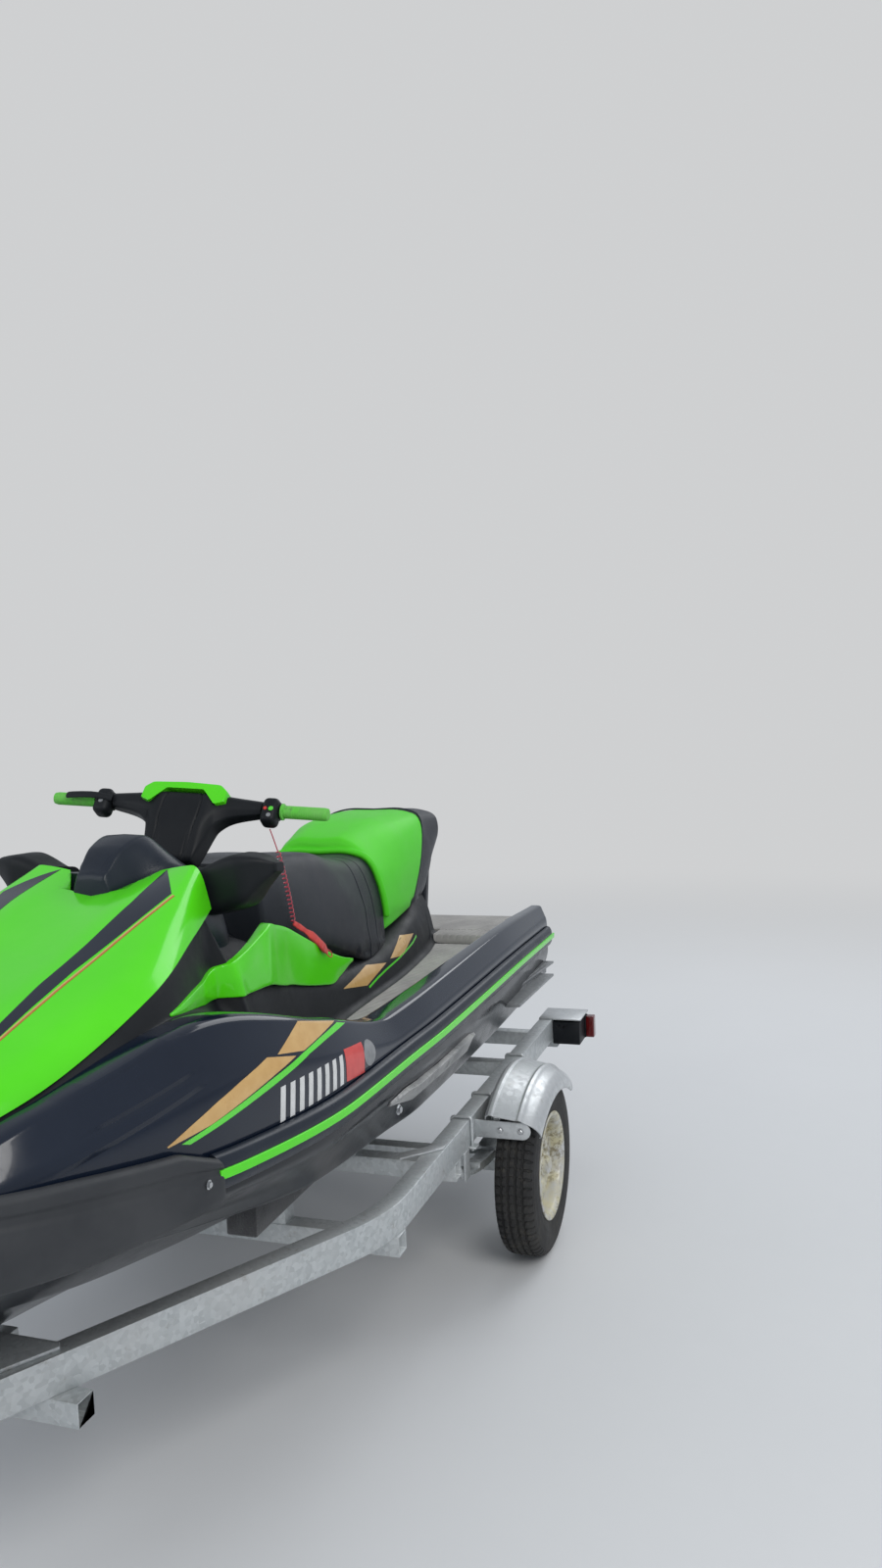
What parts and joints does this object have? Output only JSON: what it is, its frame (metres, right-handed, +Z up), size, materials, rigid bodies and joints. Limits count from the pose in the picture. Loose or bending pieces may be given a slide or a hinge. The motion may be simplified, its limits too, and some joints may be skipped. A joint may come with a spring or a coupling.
{
  "type": "personal watercraft on a single-axle trailer",
  "caption": "Two-seat jet-driven personal watercraft with handlebar steering, standing on its single-axle road trailer.",
  "frame": {"origin": "on the ground under the middle of the bounding box", "axes": "+X towards the bow and the coupler, +Y to port, +Z up"},
  "size_m": [3.97, 1.544, 1.5283],
  "materials": {
    "gelcoat_black": "gloss black gelcoat",
    "deck_black": "gloss blue-black moulding",
    "gloss_green": "gloss lime green",
    "seat_vinyl": "black vinyl",
    "seat_vinyl_green": "green and black vinyl",
    "matt_black": "matt black plastic",
    "deck_mat": "ribbed grey foam mat",
    "soft_grip": "green rubber",
    "stainless": "stainless steel",
    "cast_grey": "cast aluminium",
    "galvanised": "galvanised steel",
    "tyre_rubber": "black tyre",
    "wheel_paint": "silver painted steel",
    "bunk_carpet": "grey carpet over wood",
    "red_lens": "red lens",
    "lanyard_red": "red cord and webbing",
    "engine_block": "plain block"
  },
  "bodies": {
    "craft_and_trailer": {"hull": "gelcoat_black", "deck": "deck_black", "seat_front": "seat_vinyl", "rub_rails": "matt_black", "rub_stripes": "gloss_green", "bow_guard": "matt_black", "deck_mats": "deck_mat", "side_panels": "gloss_green", "instrument_cowl": "matt_black", "mirrors": "matt_black", "grab_handle": "stainless", "engine": "engine_block", "pump_housing": "cast_grey", "ride_plate": "cast_grey", "intake_grate": "cast_grey", "hull_sponsons": "matt_black", "stern_stabilisers": "matt_black", "bow_eye": "stainless", "trailer_rails": "galvanised", "trailer_tongue": "galvanised", "crossmembers": "galvanised", "gusset_plate": "galvanised", "coupler": "galvanised", "jack_bracket": "galvanised", "winch_post": "galvanised", "bow_roller": "tyre_rubber", "winch": "galvanised", "bunks": "bunk_carpet", "bunk_brackets": "galvanised", "axle": "galvanised", "leaf_springs": "galvanised", "spring_hangers": "galvanised", "fenders": "galvanised", "fender_brackets": "galvanised", "tail_brackets": "matt_black", "tail_lights": "red_lens", "lanyard_lead": "lanyard_red", "lanyard_coil": "lanyard_red", "lanyard_strap": "lanyard_red"},
    "steering": {"handlebar": "stainless", "bar_cover": "matt_black", "bar_pad": "gloss_green", "grips": "soft_grip", "hand_controls": "matt_black"},
    "hood": {"hood": "gloss_green"},
    "glove_box_lid": {"glove_box_lid": "matt_black"},
    "rear_seat": {"seat_rear": "seat_vinyl_green"},
    "nozzle": {"steering_nozzle": "cast_grey"},
    "reverse_bucket": {"reverse_bucket": "cast_grey"},
    "impeller": {"impeller": "stainless"},
    "wheel_port": {"tyre_port": "tyre_rubber", "rim_port": "wheel_paint"},
    "wheel_starboard": {"tyre_starboard": "tyre_rubber", "rim_starboard": "wheel_paint"},
    "jack": {"jack_tube": "galvanised", "jack_crank": "galvanised"},
    "jack_leg": {"jack_leg": "galvanised"}
  },
  "joints": [
    {"name": "steering_turn", "type": "hinge", "parent": "craft_and_trailer", "child": "steering", "pos_m": [-0.263, 0, 1.457], "axis": [-0.6157, 0, 0.788], "range_deg": [-27.6, 12.4], "deforming": ["lanyard_lead", "lanyard_coil"]},
    {"name": "nozzle_turn", "type": "hinge", "parent": "craft_and_trailer", "child": "nozzle", "pos_m": [-1.801, 0, 0.57], "axis": [0, 0, 1], "range_deg": [-12.4, 27.6]},
    {"name": "bucket_swing", "type": "hinge", "parent": "craft_and_trailer", "child": "reverse_bucket", "pos_m": [-1.841, 0, 0.57], "axis": [0, -1, 0], "range_deg": [0, 75]},
    {"name": "impeller_spin", "type": "hinge", "parent": "craft_and_trailer", "child": "impeller", "pos_m": [-1.661, 0, 0.57], "axis": [1, 0, 0], "continuous": true},
    {"name": "hood_open", "type": "hinge", "parent": "craft_and_trailer", "child": "hood", "pos_m": [1.085, 0, 0.991], "axis": [0, 1, 0], "range_deg": [0, 45]},
    {"name": "glove_box_open", "type": "hinge", "parent": "craft_and_trailer", "child": "glove_box_lid", "pos_m": [-0.171, 0, 1.13231], "axis": [0, 1, 0], "range_deg": [0, 35]},
    {"name": "rear_seat_lift", "type": "slide", "parent": "craft_and_trailer", "child": "rear_seat", "axis": [0, 0, 1], "range_m": [0, 0.3]},
    {"name": "wheel_port_spin", "type": "hinge", "parent": "craft_and_trailer", "child": "wheel_port", "pos_m": [-1.004, 0.689, 0.265], "axis": [0, 1, 0], "continuous": true},
    {"name": "wheel_starboard_spin", "type": "hinge", "parent": "craft_and_trailer", "child": "wheel_starboard", "pos_m": [-1.004, -0.689, 0.265], "axis": [0, 1, 0], "continuous": true},
    {"name": "jack_swing", "type": "hinge", "parent": "craft_and_trailer", "child": "jack", "pos_m": [1.519, 0.132, 0.462], "axis": [0, 1, 0], "range_deg": [0, 90]},
    {"name": "jack_leg_slide", "type": "slide", "parent": "jack", "child": "jack_leg", "axis": [0, 0, 1], "range_m": [0, 0.2]}
  ],
  "couplings": [
    {"joint": "nozzle_turn", "follows": "steering_turn", "ratio": -1}
  ]
}
